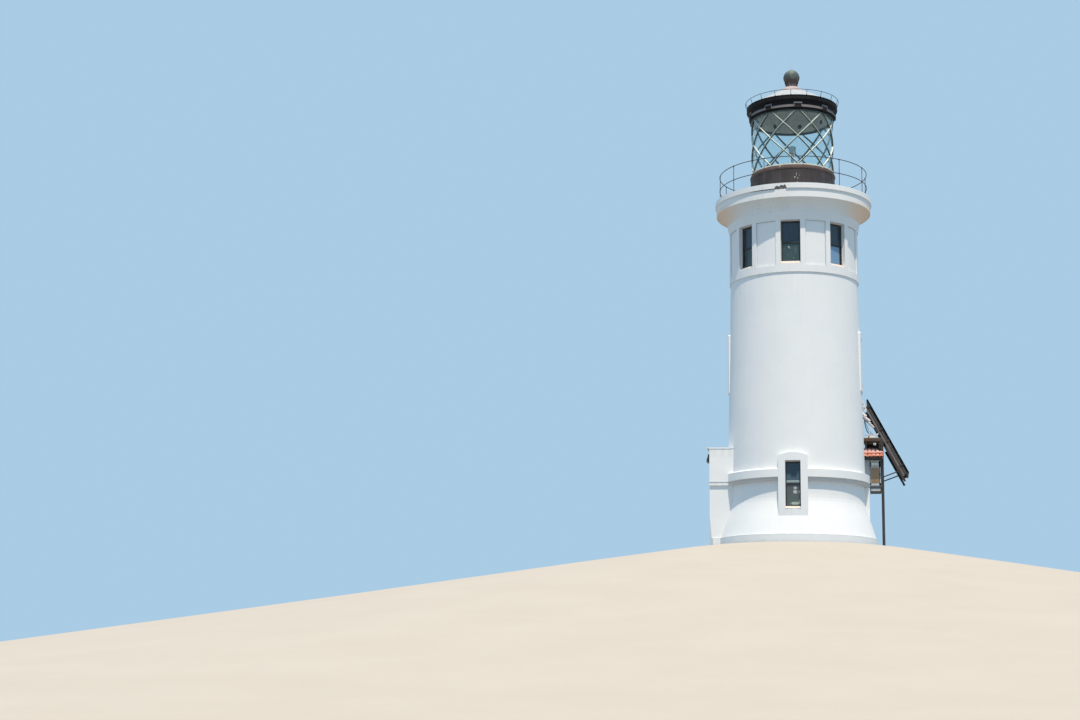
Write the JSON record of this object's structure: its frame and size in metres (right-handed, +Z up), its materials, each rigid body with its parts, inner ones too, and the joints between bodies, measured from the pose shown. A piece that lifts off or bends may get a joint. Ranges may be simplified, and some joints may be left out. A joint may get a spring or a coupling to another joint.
{
  "type": "lighthouse",
  "caption": "Round white masonry lighthouse with a belt course, watch room, coved gallery, lattice-glazed lantern, conical roof, and a solar array on a rack beside it.",
  "frame": {"origin": "the tower's axis at ground level, on the underside of the ground floor", "axes": "+Z up along the tower, -Y is the front with the low window, -X is the side with the entrance portal, +X is the side with the solar array"},
  "size_m": [6.8182, 5.386, 17.651],
  "materials": {
    "white_masonry": "matt white masonry paint",
    "floor_concrete": "bare concrete",
    "sash_paint": "dark weathered paint",
    "window_glass": "clear window glass",
    "door_paint": "dark green-black paint",
    "lamp_metal": "dark paint",
    "railing_metal": "black paint with rust",
    "lantern_black": "weathered black paint",
    "lantern_rust": "rust and worn paint",
    "lattice_paint": "pale green-cream paint",
    "lantern_glass": "clear lantern glass",
    "roof_paint": "white paint, worn and streaked",
    "ball_patina": "grey-green patina",
    "rod_metal": "dull bare metal",
    "beacon_metal": "grey paint",
    "beacon_lens": "clear lens",
    "rack_steel": "dark weathered paint",
    "rack_boards": "weathered boards",
    "cabinet_paint": "grey paint",
    "roof_tiles": "red clay tiles",
    "rail_aluminium": "dull aluminium",
    "bracket_white": "white paint",
    "solar_glass": "dark coated glass"
  },
  "bodies": {
    "root": {"shaft_wall_front": "white_masonry", "shaft_wall_right": "white_masonry", "shaft_wall_back": "white_masonry", "shaft_wall_left": "white_masonry", "window_surrounds": "white_masonry", "belt_course": "white_masonry", "base_pilaster": "white_masonry", "portal_front_pier": "white_masonry", "portal_back_pier": "white_masonry", "portal_lintel": "white_masonry", "portal_coping": "white_masonry", "watch_room_wall_front": "white_masonry", "watch_room_wall_right": "white_masonry", "watch_room_wall_back": "white_masonry", "watch_room_wall_left": "white_masonry", "gallery_cornice": "white_masonry", "gallery_deck": "white_masonry", "ground_floor": "floor_concrete", "watch_room_floor": "floor_concrete", "window_sashes": "sash_paint", "window_glass": "window_glass", "door_frame": "door_paint", "entrance_door": "door_paint", "entrance_lamp": "lamp_metal", "gallery_rail_top": "railing_metal", "gallery_rail_middle": "railing_metal", "gallery_posts": "railing_metal", "roof_rail": "railing_metal", "roof_rail_stays": "railing_metal", "lantern_base": "lantern_black", "lantern_cornice": "lantern_black", "cornice_ventilators": "lantern_black", "lantern_sill": "lantern_rust", "ball_seat": "lantern_rust", "lantern_lattice": "lattice_paint", "lantern_glass": "lantern_glass", "lantern_roof": "roof_paint", "ball_vent": "ball_patina", "lightning_rod": "rod_metal", "beacon_post": "beacon_metal", "beacon_lens": "beacon_lens", "rack_posts": "rack_steel", "rack_beams": "rack_steel", "rack_brace": "rack_steel", "array_purlins": "rack_steel", "array_frame": "rack_steel", "rack_deck": "rack_boards", "cabinet": "cabinet_paint", "cabinet_roof": "roof_tiles", "array_rails": "rail_aluminium", "array_bracket": "bracket_white", "solar_panels": "solar_glass"}
  },
  "joints": []
}
